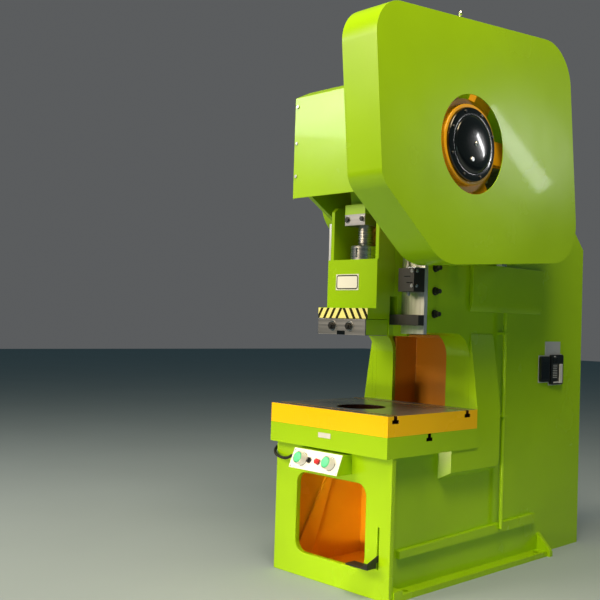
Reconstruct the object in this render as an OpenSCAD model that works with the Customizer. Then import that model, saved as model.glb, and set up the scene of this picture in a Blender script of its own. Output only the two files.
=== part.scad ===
/* [Bed and bolster] */
// Height of the bolster's top above the floor
table_h = 900; // [880:2:930]
// Width of the bolster and of the bed slab
bolster_w = 874; // [860:2:900]
// Depth of the bolster and of the bed slab, front to back
bolster_d = 695; // [680:1:702]
// Thickness of the bolster
bolster_t = 102; // [90:1:112]
// Thickness of the bed slab
bed_t = 104; // [90:1:116]
// From the ram axis forward to the bolster's front face
bolster_front = 252; // [244:1:252]
// Radius of the round drop hole under the ram
drop_r = 130; // [100:2:140]
// Width of a T-slot's neck
tslot_neck = 24; // [18:1:28]
// Width of a T-slot's foot
tslot_foot = 46; // [40:1:54]
// Height of a T-slot's foot
tslot_foot_h = 18; // [14:1:22]
// Whole depth of a T-slot
tslot_h = 38; // [32:1:44]
// From the bolster's front face back to its front T-slot
tslot_front = 54; // [46:1:64]
// From the bolster's back face forward to its rear T-slot
tslot_rear = 86; // [70:1:100]
// From the bed's front face back to the bed's T-slot
tslot_bed = 307; // [290:1:320]

/* [Frame] */
// Width of the frame over its two side plates
frame_w = 730; // [720:2:740]
// Thickness of the side plates
plate_t = 30; // [24:1:34]
// Thickness of the cross plates inside the frame
web_t = 24; // [18:1:28]
// From the ram axis back to the throat wall
throat = 451; // [445:1:470]
// Radius between the throat wall and the head
throat_r = 130; // [100:5:150]
// Height of the head's underside
head_z = 1302; // [1296:1:1308]
// From the ram axis back to the head's front edge
head_front = 93; // [88:1:96]
// From the ram axis back to the frame's rear face
rear_y = 1591; // [1560:1:1620]
// Height of the rear face below its slope
rear_h = 1846; // [1800:2:1880]
// Height of the shelf that carries the motor
shelf_z = 2026; // [2000:2:2060]
// From the ram axis back to the head's rear face
head_back = 1000; // [980:2:1030]
// Height of the head's top
top_z = 2640; // [2600:2:2680]
// From the ram axis forward to the head's brow, which carries the crank cover
brow_y = 200; // [198:1:230]
// Height of the brow's lower end
brow_z = 2096; // [2080:1:2110]
// Height of the brow's upper end
brow_top = 2560; // [2540:2:2590]
// From the throat wall back to the inner wall of the throat recess
recess_d = 203; // [180:1:230]
// Half width of the opening in the throat wall
window_x = 202; // [180:1:210]
// Height of the top of the opening in the throat wall
window_z = 1290; // [1240:2:1292]

/* [Base] */
// From each side of the bolster in to the side of the base's front panel
panel_in = 5; // [2:1:12]
// Thickness of the base's front panel
panel_t = 30; // [24:1:36]
// From the bolster's front back to the panel's front
panel_set = 44; // [36:1:52]
// Width of the opening in the front panel
mouth_w = 520; // [480:4:540]
// Height of the lower edge of that opening
mouth_z = 126; // [118:1:134]
// Height of that opening
mouth_h = 420; // [380:4:430]
// Corner radius of that opening
mouth_r = 62; // [40:1:80]
// Thickness of the foot rails
rail_t = 30; // [22:1:36]
// Width of the foot rails beyond the side plates
rail_w = 76; // [66:1:86]
// Radius of the anchor holes
anchor_r = 16; // [12:1:18]
// Length of the foot rails behind the front panel
rail_l = 1318; // [1280:1:1330]
// Height of the cheek brackets' lower edge
cheek_z = 580; // [560:2:600]
// Half width over the cheeks at the bed
cheek_x = 430; // [420:1:436]

/* [Ram] */
// Width of the slide
slide_w = 370; // [360:1:374]
// From the ram axis forward to the slide's front face
slide_front = 98; // [90:1:106]
// Height of the slide's lower face with the ram up
slide_z = 1281; // [1276:1:1286]
// Height of the slide's solid part
slide_h = 395; // [388:1:402]
// Height of the slide's side walls above its solid part
wall_h = 285; // [260:1:290]
// Thickness of those side walls
wall_t = 24; // [18:1:26]
// From the ram axis forward to the nose's front face
nose_y = 159; // [150:1:168]
// Depth of the shank hole
shank_h = 50; // [40:1:54]
// Radius of the shank hole
shank_r = 30; // [25:1:32]
// Height of the clamp block
clamp_h = 82; // [76:1:84]
// Reach of the slide's vee ways
way_h = 40; // [30:1:42]
// Clearance between the ways and their housings
way_gap = 0.08; // [0.05:0.01:0.1]
// Stroke of the slide
stroke = 120; // [100:2:120]
// Width of the knock-out bar
bar_w = 44; // [38:1:46]
// Height of the knock-out bar
bar_h = 54; // [44:1:56]
// Length of the knock-out bar
bar_l = 720; // [700:2:740]
// Reach of the knock-out bar to the right of the ram axis
bar_right = 385; // [375:1:392]
// Lift of the knock-out bar in its slot
bar_lift = 84; // [82:1:88]

/* [Crank drive] */
// Height of the crankshaft's axis
crank_z = 2218; // [2212:1:2224]
// Radius of the crankshaft's journals
journal_r = 60; // [55:1:62]
// Radius of the crank pin
pin_r = 55; // [50:1:56]
// Radius of the ball at the connecting rod's foot
ball_r = 50; // [46:1:52]
// Height of the ball's centre with the ram up
ball_z = 1610; // [1606:1:1614]
// Radius of the adjusting screw
screw_r = 44; // [40:1:46]
// Running clearance on a radius
fit = 0.05; // [0.03:0.01:0.08]
// Module of the drive gear's teeth
gear_m = 10; // [9:0.5:10]
// Teeth on the drive gear
gear_n = 98; // [98:2:98]
// Teeth on the pinion
pinion_n = 17; // [17:2:17]
// Face width of the drive gear
gear_w = 100; // [80:2:106]
// Radius of the clutch cover in the gear's hub
clutch_r = 178; // [160:1:184]
// Radius of the back shaft
back_r = 40; // [34:1:44]
// Outer radius of the flywheel
wheel_r = 332; // [320:1:336]
// Width of the flywheel
wheel_w = 120; // [112:1:124]
// Outer radius of the motor pulley
pulley_r = 77; // [70:1:84]
// Radius of the motor's body
motor_r = 130; // [110:1:136]
// From the ram axis back to the motor's axis
motor_y = 1205; // [1190:1:1220]
// Height of the motor's axis above its shelf
motor_h = 190; // [176:1:196]
// Radius of the brake drum
drum_r = 110; // [100:1:116]

/* [Covers] */
// Outer face of the gear guard, from the machine's middle
guard_x = 712; // [704:1:722]
// Depth of the gear guard
guard_d = 215; // [205:1:222]
// Sheet thickness of the guards and covers
sheet = 4; // [3:0.5:5]
// Radius of the round opening in the gear guard
guard_hole = 240; // [220:2:250]
// Lean of the gear guard, in degrees
guard_lean = 5.6; // [4.5:0.1:6.2]
// Height of the crank cover
cover_h = 550; // [520:2:560]
// Height of the crank cover's lower edge
cover_z = 2012; // [2000:1:2020]

/* [Controls] */
// Length of the control box
box_l = 360; // [340:2:380]
// Height of the control box
box_h = 100; // [92:1:104]
// Depth of the control box at its top
box_top = 64; // [56:1:72]
// Depth of the control box at its foot
box_foot = 104; // [92:1:112]
// Radius of a palm button
palm_r = 27; // [24:1:28]
// Travel of a palm button
palm_travel = 6; // [4:0.5:7]
// Diameter of the control cable
cable_d = 16; // [12:1:18]
// Length of the pedal plate
pedal_l = 146; // [130:2:160]
// Width of the pedal plate
pedal_w = 62; // [50:1:70]
// Thickness of the pedal plate
pedal_t = 8; // [6:1:10]

/* [Hidden] */
green = [0.56, 0.78, 0.08];
orange = [0.95, 0.60, 0.05];
yellow = [1.0, 0.83, 0.0];
steel = [0.72, 0.72, 0.74];
black = [0.08, 0.08, 0.09];
grey = [0.55, 0.56, 0.58];
mint = [0.43, 0.86, 0.66];
red = [0.82, 0.08, 0.08];

// Heights and depths that follow from the sizes above
bed_top = table_h - bolster_t;
bed_z = bed_top - bed_t;
bolster_y = -bolster_front;
panel_y = bolster_y + panel_set;
panel_w = bolster_w - 2 * panel_in;
side_y = panel_y + panel_t;
half_w = frame_w / 2;
inner_x = half_w - plate_t;
slope_y = rear_y - shelf_z + rear_h;
touch = 0.3;

// Rounded outlines: unit vector, corner centre and the points along a corner
function unit(v) = v / norm(v);
function left_of(v) = [-v[1], v[0]];
function corner_at(a, b, c, d) = let (n = left_of(unit(b - a)), m = left_of(unit(c - b)))
    b + d * (n + m) / (1 + n * m);
function turn_at(a, b, c) = let (u = unit(b - a), w = unit(c - b))
    atan2(u[0] * w[1] - u[1] * w[0], u * w);
function corner_arc(a, b, c, r, n) = let (t = turn_at(a, b, c), s = sign(t),
    mid = corner_at(a, b, c, s * r), v = -s * left_of(unit(b - a)), a0 = atan2(v[1], v[0]))
    [for (i = [0:n]) mid + r * [cos(a0 + t * i / n), sin(a0 + t * i / n)]];
function rounded(p, r, n) = [for (i = [0:len(p) - 1])
    let (a = p[(i + len(p) - 1) % len(p)], c = p[(i + 1) % len(p)])
    each (r[i] > 0 ? corner_arc(a, p[i], c, r[i], n) : [p[i]])];
function inset(p, d) = [for (i = [0:len(p) - 1])
    corner_at(p[(i + len(p) - 1) % len(p)], p[i], p[(i + 1) % len(p)], d)];
function thinner(r, d) = [for (v = r) max(v - d, 1)];

// A block between two corners
module block(x, y, z) {
    translate([x[0], y[0], z[0]]) cube([x[1] - x[0], y[1] - y[0], z[1] - z[0]]);
}
// An outline drawn in depth and height, pushed across the machine
module across(x) {
    translate([x[0], 0, 0]) rotate([90, 0, 90]) linear_extrude(x[1] - x[0]) children();
}
module x_rod(x, r, y, z, sides = 72) {
    translate([x[0], y, z]) rotate([0, 90, 0]) cylinder(h = x[1] - x[0], r = r, $fn = sides);
}
module y_rod(y, r, x, z, sides = 48) {
    translate([x, y[0], z]) rotate([-90, 0, 0]) cylinder(h = y[1] - y[0], r = r, $fn = sides);
}
module z_rod(z, r, x, y, sides = 48) {
    translate([x, y, z[0]]) cylinder(h = z[1] - z[0], r = r, $fn = sides);
}
module both_sides() {
    children();
    mirror([1, 0, 0]) children();
}

// Side plates, with the throat cut into them
bearing_r = journal_r + 40;
back_bearing_r = back_r + 35;
gear_pitch_r = gear_m * gear_n / 2;
pinion_pitch_r = gear_m * pinion_n / 2;
mesh_gap = 0.6;
back_y = gear_pitch_r + pinion_pitch_r + mesh_gap;
side_outline = [[side_y, 0], [rear_y, 0], [rear_y, rear_h], [slope_y, shelf_z],
    [head_back, shelf_z], [head_back, top_z], [-15, top_z], [-108, top_z - 32],
    [-brow_y, brow_top], [-brow_y, brow_z], [-59, brow_z - 88], [head_front, brow_z - 183],
    [head_front, head_z], [throat, head_z], [throat, bed_z], [side_y, bed_z]];
side_radii = [for (i = [0:len(side_outline) - 1]) i == 13 ? throat_r : 0];
bolt_y = 149;
bolt_zs = [head_z + 99, head_z + 217, head_z + 338];
ledge = [[-91, 186], [1085, 198], [1085, 254], [-91, 224]];
ledge_d = 25;
pedal_x = 351;
slit = 6;
pedal_z = 211;
pedal_y = -60;
module side_plate() {
    difference() {
        union() {
            across([inner_x, half_w]) polygon(rounded(side_outline, side_radii, 16));
            across([half_w, half_w + ledge_d]) polygon(ledge);
        }
        x_rod([inner_x - 1, half_w + 1], bearing_r, 0, crank_z);
        x_rod([inner_x - 1, half_w + 1], back_bearing_r, back_y, crank_z);
        for (z = bolt_zs) x_rod([inner_x - 1, half_w + 1], 12, bolt_y, z);
    }
}
module side_plate_right() {
    color(green) difference() {
        side_plate();
        block([inner_x - 1, pedal_x + slit + 2], [side_y - 1, -20], [148, 352]);
    }
}
module side_plate_left() {
    color(green) mirror([1, 0, 0]) side_plate();
}

// Base
mouth_x = mouth_w / 2;
mouth = [[-mouth_x, mouth_z], [mouth_x, mouth_z], [mouth_x, mouth_z + mouth_h],
    [-mouth_x, mouth_z + mouth_h]];
floor_t = 16;
module front_panel() {
    color(green) difference() {
        block([-panel_w / 2, panel_w / 2], [panel_y, side_y], [0, bed_z]);
        translate([0, side_y + 1, 0]) rotate([90, 0, 0]) linear_extrude(panel_t + 2)
            polygon(rounded(mouth, [for (i = [0:3]) mouth_r], 12));
        block([pedal_x - slit, pedal_x + slit], [panel_y - 1, side_y + 1], [148, 352]);
    }
}
module bottom_plate() {
    color(orange) block([-inner_x, inner_x], [side_y, rear_y - web_t], [0, floor_t]);
}
base_web_y = 355;
rib_t = 16;
module base_web() {
    color(orange) {
        block([-inner_x, inner_x], [base_web_y, base_web_y + web_t], [floor_t, bed_z]);
        across([-inner_x, rib_t - inner_x]) polygon([[side_y, floor_t + 32],
            [side_y, floor_t], [-50, floor_t], [194, bed_z], [180, bed_z]]);
    }
}
anchor_x = half_w + rail_w / 2;
anchor_y = [-60, rail_l - 240];
module foot_rails() {
    color(green) both_sides() difference() {
        union() {
            block([half_w, half_w + rail_w], [side_y, side_y + rail_l], [0, rail_t]);
            block([half_w, half_w + rail_w + 20], [side_y + rail_l, side_y + rail_l + 28], [0, rail_t]);
            translate([0, side_y + rail_l + 2, 0]) rotate([90, 0, 0]) mirror([0, 0, 1])
                linear_extrude(web_t) polygon([[half_w, rail_t], [half_w + rail_w + 16, rail_t],
                [half_w + rail_w + 16, rail_t + 8], [half_w, rail_t + 100]]);
            block([half_w, half_w + rail_w], [side_y, side_y + 60], [rail_t, rail_t + 22]);
        }
        for (y = anchor_y) z_rod([-1, rail_t + 1], anchor_r, anchor_x, y);
    }
}

// Throat wall with its window, and the recess behind it
function bend(d) = [throat + d, head_z + d];
web_path = [[240, head_z], [throat, head_z], [throat, bed_z], [throat + web_t, bed_z],
    bend(web_t), [240, head_z + web_t]];
module throat_web() {
    color(green) difference() {
        across([-inner_x, inner_x])
            polygon(rounded(web_path, [0, throat_r, 0, 0, throat_r + web_t, 0], 16));
        block([-window_x, window_x], [throat - 100, throat + 100], [bed_z - 1, window_z]);
    }
}
module throat_recess() {
    color(orange) difference() {
        block([-window_x - web_t, window_x + web_t], [throat + web_t, throat + recess_d + web_t],
            [bed_z, window_z + web_t - 20]);
        block([-window_x, window_x], [throat + web_t - 1, throat + recess_d], [bed_z - 1, window_z - 20]);
    }
}
module cheek() {
    intersection() {
        across([half_w, cheek_x]) polygon(rounded([[205, 540], [throat + 206, 540],
            [throat + 206, 1300], [throat, 1300], [throat, bed_z], [205, bed_z]],
            [0, 90, 0, 0, 0, 0], 10));
        translate([0, throat + 210, 0]) rotate([90, 0, 0]) linear_extrude(500)
            polygon([[half_w, 542], [cheek_x, cheek_z], [cheek_x, table_h],
            [cheek_x - 24, table_h + 165], [half_w + 4, 1300], [half_w, 1300]]);
        linear_extrude(head_z) polygon([[half_w, 212], [cheek_x, 241], [cheek_x, throat + 210],
            [half_w, throat + 210]]);
    }
}
module cheek_right() { color(green) cheek(); }
module cheek_left() { color(green) mirror([1, 0, 0]) cheek(); }

// Bed slab and bolster
module t_slot(y, z) {
    translate([0, y, z]) {
        block([-bolster_w, bolster_w], [-tslot_neck / 2, tslot_neck / 2], [-tslot_h, 1]);
        block([-bolster_w, bolster_w], [-tslot_foot / 2, tslot_foot / 2],
            [-tslot_h, tslot_foot_h - tslot_h]);
    }
}
module bed_slab() {
    color(green) difference() {
        block([-bolster_w / 2, bolster_w / 2], [bolster_y, throat], [bed_z, bed_top]);
        t_slot(bolster_y + tslot_bed, bed_top);
        z_rod([bed_z - 1, bed_top + 1], drop_r, 0, 0, 96);
    }
}
module bolster() {
    color(yellow) difference() {
        block([-bolster_w / 2, bolster_w / 2], [bolster_y, bolster_y + bolster_d],
            [bed_top, table_h]);
        t_slot(bolster_y + tslot_front, table_h);
        t_slot(bolster_y + bolster_d - tslot_rear, table_h);
        z_rod([bed_top - 1, table_h + 1], drop_r, 0, 0, 96);
    }
}
module bed_plate() {
    color(grey) block([-53, 39], [bolster_y - 2, bolster_y], [bed_z + 57, bed_z + 83]);
}

// Casings between the side plates
module rear_casing() {
    color(green) across([-inner_x, inner_x]) polygon([[rear_y, 0], [rear_y, rear_h],
        [slope_y, shelf_z], [head_back, shelf_z], [head_back, shelf_z - web_t],
        [slope_y - 10, shelf_z - web_t], [rear_y - web_t, rear_h - 10], [rear_y - web_t, 0]]);
}
module head_casing() {
    color(green) across([-inner_x, inner_x]) polygon([[head_back, shelf_z], [head_back, top_z],
        [-15, top_z], [-15, top_z - web_t], [head_back - web_t, top_z - web_t],
        [head_back - web_t, shelf_z]]);
}
web_y = 240;
module head_web() {
    color(orange) block([-inner_x, inner_x], [web_y, web_y + web_t],
        [head_z + web_t, top_z - web_t]);
}
module bearing(x, r, bore, y) {
    difference() {
        union() {
            x_rod([inner_x - x, half_w + x], r, y, crank_z);
            x_rod([half_w, half_w + 20], r + 32, y, crank_z);
        }
        x_rod([inner_x - x - 1, half_w + x + 1], bore, y, crank_z);
    }
}
module bearing_housings() {
    color(grey) both_sides() {
        bearing(24, bearing_r, journal_r + fit, 0);
        bearing(20, back_bearing_r, back_r + fit, back_y);
    }
}

// Slide guides
way_y = 94;
way_half = 60;
way_tip = slide_w / 2 + way_h;
way_shift = way_gap * 1.2;
gib_y = 68;
gib_z = [1295, 1900];
housing_x = 250;
slide_back = 160;
way_at = slide_w / 2 + way_h * (gib_y - way_y + way_half) / way_half;
way_end = way_y + way_half * (way_h - 4) / way_h;
module gib_housings() {
    color(green) both_sides() difference() {
        block([housing_x, inner_x], [head_front, web_y], [head_z, gib_z[1]]);
        for (z = bolt_zs) x_rod([inner_x - 40, inner_x + 1], 12, bolt_y, z);
    }
}
module gib_strips() {
    color(steel) both_sides() translate([0, 0, gib_z[0]]) linear_extrude(gib_z[1] - gib_z[0])
        polygon([[way_at + way_shift, gib_y], [half_w, gib_y], [half_w, head_front],
        [housing_x, head_front], [housing_x, 170], [slide_w / 2 + 4, 170],
        [slide_w / 2 + 4 + way_shift, way_end], [way_tip + way_shift, way_y]]);
}
module gib_bolts() {
    color(black) both_sides() for (z = bolt_zs) {
        x_rod([inner_x - 38, half_w + 38], 12, bolt_y, z);
        x_rod([half_w, half_w + 4], 22, bolt_y, z);
        x_rod([half_w + 4, half_w + 20], 18, bolt_y, z, 6);
    }
}
bar_y = 26;
stop_at = [[291, 26, 10], [-270, 40, 8]];
bracket_z = [1510, 1630];
bracket_outline = [[257, -15], [half_w, -15], [half_w, gib_y], [257, gib_y]];
bracket_left = [[-300, 24], [-225, 24], [-225, gib_y], [-300, gib_y]];
module knockout_brackets() {
    color(black) difference() {
        translate([0, 0, bracket_z[0]]) linear_extrude(bracket_z[1] - bracket_z[0]) {
            polygon(bracket_outline);
            polygon(bracket_left);
        }
        for (p = stop_at) z_rod([bracket_z[0] - 1, bracket_z[1] + 1], p[2], p[0], p[1]);
    }
}
module knockout_stops() {
    color(steel) for (p = stop_at) {
        z_rod([1490, bracket_z[1]], p[2], p[0], p[1]);
        z_rod([bracket_z[1], bracket_z[1] + 18], p[2] * 1.6, p[0], p[1], 6);
        z_rod([bracket_z[1] + 18, bracket_z[1] + 35], p[2], p[0], p[1]);
    }
}

// Crank cover and gear guard
cover_x = half_w + 7;
module crank_cover() {
    p = [[-brow_y, cover_z], [-brow_y, brow_top], [-108, top_z - 32], [-15, top_z],
        [-15, top_z + sheet], [-108 - sheet / 3, top_z - 32 + sheet],
        [-brow_y - sheet, brow_top + sheet / 2], [-brow_y - sheet, cover_z]];
    color(green) across([-cover_x, cover_x]) polygon(p);
}
module cover_screws() {
    color(steel) both_sides() for (z = [cover_z + 120, cover_z + 300, cover_z + 500])
        y_rod([-brow_y - sheet - 6, -brow_y - sheet], 9, half_w - 15, z);
}
guard_in = guard_x - guard_d;
guard_edge = [[-205, 1624], [961, 1712], [824, 2904], [-697, 2745], [-621, 1965]];
guard_radii = [270, 220, 230, 165, 120];
module gear_guard() {
    color(green) {
        difference() {
            across([guard_in, guard_x]) polygon(rounded(guard_edge, guard_radii, 16));
            across([guard_in - 1, guard_x - sheet])
                polygon(rounded(inset(guard_edge, sheet), thinner(guard_radii, sheet), 16));
            x_rod([guard_x - 10, guard_x + 1], guard_hole, 0, crank_z, 96);
        }
        block([half_w, guard_in + 30], [260, 310], [1660, 1684]);
        block([half_w, guard_in + 30], [640, 690], [1689, 1713]);
        block([half_w, half_w + 24], [380, 440], [2480, 2856]);
        block([half_w, guard_in + 30], [380, 440], [2832, 2856]);
    }
}

// Right side fittings
module side_pocket() {
    color(green) translate([0, 1113, 0]) rotate([90, 0, 0]) linear_extrude(677)
        polygon([[half_w, 1423], [half_w + 10, 1423], [half_w + 26, 1468], [half_w + 26, 1684],
        [half_w, 1684]]);
}
pipe_y = 724;
pipe_x = half_w + ledge_d + 12.3;
module drain_pipe() {
    color(green) {
        z_rod([217, 1423], 12, pipe_x, pipe_y);
        for (z = [838, 1300])
            block([half_w, pipe_x + 14], [pipe_y - 20, pipe_y + 20], [z, z + 14]);
    }
}
lever_at = [1322, 1112];
switch_t = 20;
module side_switches() {
    color(black) difference() {
        union() {
            across([half_w, half_w + switch_t - 2]) polygon(rounded([[1118, 1022], [1214, 1022],
                [1214, 1175], [1118, 1175]], [14, 14, 14, 14], 6));
            across([half_w, half_w + switch_t]) polygon(rounded([[1224, 1003], [1358, 1003],
                [1358, 1184], [1224, 1184]], [14, 14, 14, 14], 6));
            block([half_w, half_w + 3], [1181, 1344], [1175, 1263]);
        }
        x_rod([half_w + switch_t - 12, half_w + switch_t + 1], 6 + fit, lever_at[0], lever_at[1]);
    }
}
module breaker_lever() {
    color(grey) {
        x_rod([half_w + switch_t - 12, half_w + switch_t + 2], 6, lever_at[0], lever_at[1]);
        block([half_w + switch_t + 2, half_w + switch_t + 9], [lever_at[0] - 14, lever_at[0] + 14],
            [lever_at[1] - 100, lever_at[1] + 16]);
    }
}

// Two-hand control box on the base
box_x = [-205, box_l - 205];
box_z = [bed_z - 111, box_h + bed_z - 111];
box_profile = [[panel_y, box_z[0]], [panel_y, box_z[1]], [panel_y - box_top, box_z[1]],
    [panel_y - box_foot, box_z[0]]];
lean = atan((box_foot - box_top) / box_h);
face_t = 4;
palm_xs = [-122, 89];
knob_x = -68;
stop_button_x = -1;
shroud_l = 38;
module on_panel(x) {
    translate([x, panel_y - (box_top + box_foot) / 2, (box_z[0] + box_z[1]) / 2])
        rotate([90 - lean, 0, 0]) children();
}
module control_box() {
    color(green) difference() {
        across(box_x) polygon(box_profile);
        across([box_x[0] + 3, box_x[1] - 3]) polygon([[panel_y - 3, box_z[0] + 3],
            [panel_y - 3, box_z[1] - 3], [panel_y - box_top - 9, box_z[1] - 3],
            [panel_y - box_foot - 9, box_z[0] + 3]]);
    }
}
module control_panel() {
    color([0.95, 0.95, 0.95]) difference() {
        on_panel((box_x[0] + box_x[1]) / 2)
            translate([-box_l / 2, -box_h / 2 / cos(lean) + 2, 0])
            cube([box_l, box_h / cos(lean) - 3, face_t]);
        for (x = palm_xs) on_panel(x) translate([0, 0, -1]) cylinder(h = 9, r = 9 + fit, $fn = 48);
        for (x = [knob_x, stop_button_x]) on_panel(x) translate([0, 0, -1])
            cylinder(h = 9, r = 7 + fit, $fn = 48);
    }
}
module button_shrouds() {
    color(grey) for (x = palm_xs) on_panel(x) translate([0, 0, face_t]) difference() {
        cylinder(h = shroud_l, r = palm_r + 6, $fn = 72);
        translate([0, 0, -1]) cylinder(h = shroud_l + 2, r = palm_r + 3, $fn = 72);
    }
}
module palm_button(x) {
    color(mint) on_panel(x) {
        translate([0, 0, -14]) cylinder(h = 14 + face_t + shroud_l - 8, r = 9, $fn = 48);
        translate([0, 0, face_t + shroud_l - 9]) {
            cylinder(h = 10, r = palm_r, $fn = 72);
            translate([0, 0, 10]) cylinder(h = 5, r1 = palm_r, r2 = palm_r - 9, $fn = 72);
        }
    }
}
module palm_button_left() { palm_button(palm_xs[0]); }
module palm_button_right() { palm_button(palm_xs[1]); }
module estop_button() {
    color(red) on_panel(stop_button_x) {
        translate([0, 0, -12]) cylinder(h = 12 + face_t + 8, r = 7, $fn = 48);
        translate([0, 0, face_t + 8]) cylinder(h = 10, r = 14, $fn = 60);
        translate([0, 0, face_t + 18]) cylinder(h = 4, r1 = 14, r2 = 9, $fn = 60);
    }
}
module selector_knob() {
    color(black) on_panel(knob_x) {
        translate([0, 0, -12]) cylinder(h = 12 + face_t, r = 7, $fn = 48);
        translate([0, 0, face_t]) cylinder(h = 6, r = 14, $fn = 60);
        translate([-4, -13, face_t + 6]) cube([8, 26, 12]);
    }
}
cable_path = [for (p = [[-205.4, -262, 54], [-232, -262, 55], [-319, -240, 83], [-428, -226, 66],
    [-457, -200, 39], [-442, -130, 22], [-365, -110, 22]]) [p[0], p[1], bed_z - p[2]]];
module control_cable() {
    color(black) {
        for (i = [0:len(cable_path) - 2]) let (a = cable_path[i], v = cable_path[i + 1] - a)
            translate(a) rotate([0, acos(v[2] / norm(v)), atan2(v[1], v[0])])
                cylinder(h = norm(v), r = cable_d / 2, $fn = 24);
        for (i = [1:len(cable_path) - 2]) translate(cable_path[i]) sphere(r = cable_d / 2, $fn = 24);
    }
}

// Foot pedal
pedal_shaft_r = 12;
module pedal_shaft() {
    color(black) {
        x_rod([278, pedal_x + slit + 1], pedal_shaft_r, pedal_y, pedal_z, 48);
        for (x = [278, 318])
            block([x, x + 12], [side_y, pedal_y + 24], [pedal_z - 26, pedal_z + 26]);
    }
}
plate_y = panel_y - 12 - pedal_w;
module pedal() {
    color(black) difference() {
        union() {
            x_rod([pedal_x - 12, pedal_x + slit], 24, pedal_y, pedal_z, 60);
            across([pedal_x - 4, pedal_x + 4]) polygon([[pedal_y, pedal_z - 14],
                [pedal_y, pedal_z + 14], [panel_y, pedal_z + 4], [plate_y, 184], [plate_y, 158],
                [panel_y, pedal_z - 26]]);
            block([pedal_x - pedal_l, pedal_x + 4], [plate_y, plate_y + pedal_w],
                [158, 158 + pedal_t]);
            translate([0, plate_y + pedal_w, 0]) rotate([90, 0, 0]) linear_extrude(pedal_w)
                polygon([[pedal_x - 52, 158], [pedal_x + 4, 158], [pedal_x + 4, 186],
                [pedal_x - 6, 186], [pedal_x - 40, 158 + pedal_t], [pedal_x - 52, 158 + pedal_t]]);
        }
        x_rod([pedal_x - 14, pedal_x + 14], pedal_shaft_r + fit, pedal_y, pedal_z, 48);
    }
}

// Slide with its vee ways, clamp block and knock-out slot
slide_top = slide_z + slide_h;
post_top = slide_top + wall_h;
bar_z = slide_z + 58;
nose_z = slide_z + clamp_h + 3;
cup_z = ball_z + 15;
nut_r = 61;
cap_r = 80;
slot = [bar_y - bar_w / 2 - 1, bar_y + bar_w / 2 + 1];
module ways(z) {
    both_sides() translate([0, 0, z[0]]) linear_extrude(z[1] - z[0])
        polygon([[slide_w / 2 - 10, way_y - way_half], [slide_w / 2, way_y - way_half],
        [way_tip, way_y], [slide_w / 2, way_y + way_half], [slide_w / 2 - 10, way_y + way_half]]);
}
module slide() {
    color(green) difference() {
        union() {
            block([-slide_w / 2, slide_w / 2], [0, slide_back], [slide_z, nose_z]);
            block([-slide_w / 2, slide_w / 2], [-nose_y, slide_back], [nose_z, slide_z + 140]);
            block([-slide_w / 2, slide_w / 2], [-slide_front, slide_back],
                [slide_z + 140, slide_top]);
            both_sides() across([slide_w / 2 - 4 - wall_t, slide_w / 2 - 4])
                polygon([[-slide_front + 12, slide_top - 1], [slide_back, slide_top - 1],
                [slide_back, post_top], [-slide_front + 40, post_top],
                [-slide_front + 12, post_top - 24]]);
            ways([slide_z, post_top]);
        }
        block([-way_tip - 5, way_tip + 5], slot, [bar_z, bar_z + bar_h + bar_lift + 10]);
        z_rod([slide_z - 1, slide_z + shank_h], shank_r, 0, 0, 72);
        z_rod([slide_z + shank_h - 1, bar_z + 1], 14, 0, 0);
        translate([0, 0, ball_z]) sphere(r = ball_r + fit, $fn = 72);
        z_rod([ball_z, cup_z + 1], ball_r + fit, 0, 0, 72);
        z_rod([cup_z, slide_top + 1], nut_r - 5, 0, 0, 72);
    }
}
module slide_plate() {
    color([0.9, 0.9, 0.9]) block([-118, 53], [-slide_front - 2, -slide_front],
        [slide_z + 234, slide_z + 318]);
}
clamp_x = slide_w / 2 - 8;
clamp_xs = [-64, 64];
clamp_zc = slide_z + 45;
module clamp_block() {
    color(steel) difference() {
        block([-clamp_x, clamp_x], [-nose_y - 6, -2], [slide_z, slide_z + clamp_h]);
        z_rod([slide_z - 1, slide_z + shank_h], shank_r, 0, 0, 72);
        z_rod([slide_z + shank_h - 1, slide_z + clamp_h + 1], 14, 0, 0);
        for (x = clamp_xs) y_rod([-nose_y - 10, 0], 12, x, clamp_zc);
    }
}
module clamp_bolts() {
    color(steel) for (x = clamp_xs) {
        y_rod([-nose_y - 30, 0], 12, x, clamp_zc);
        y_rod([-nose_y - 24, -nose_y - 6], 20, x, clamp_zc, 6);
    }
}
module ball_nut() {
    color(steel) difference() {
        union() {
            z_rod([cup_z, slide_top + 1], nut_r - 5, 0, 0, 72);
            z_rod([slide_top, slide_top + 76], cap_r, 0, 0, 72);
        }
        translate([0, 0, ball_z]) sphere(r = ball_r + fit, $fn = 72);
        translate([0, 0, cup_z]) cylinder(h = slide_top + 77 - cup_z, r1 = 36, r2 = 47, $fn = 72);
    }
}

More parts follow.
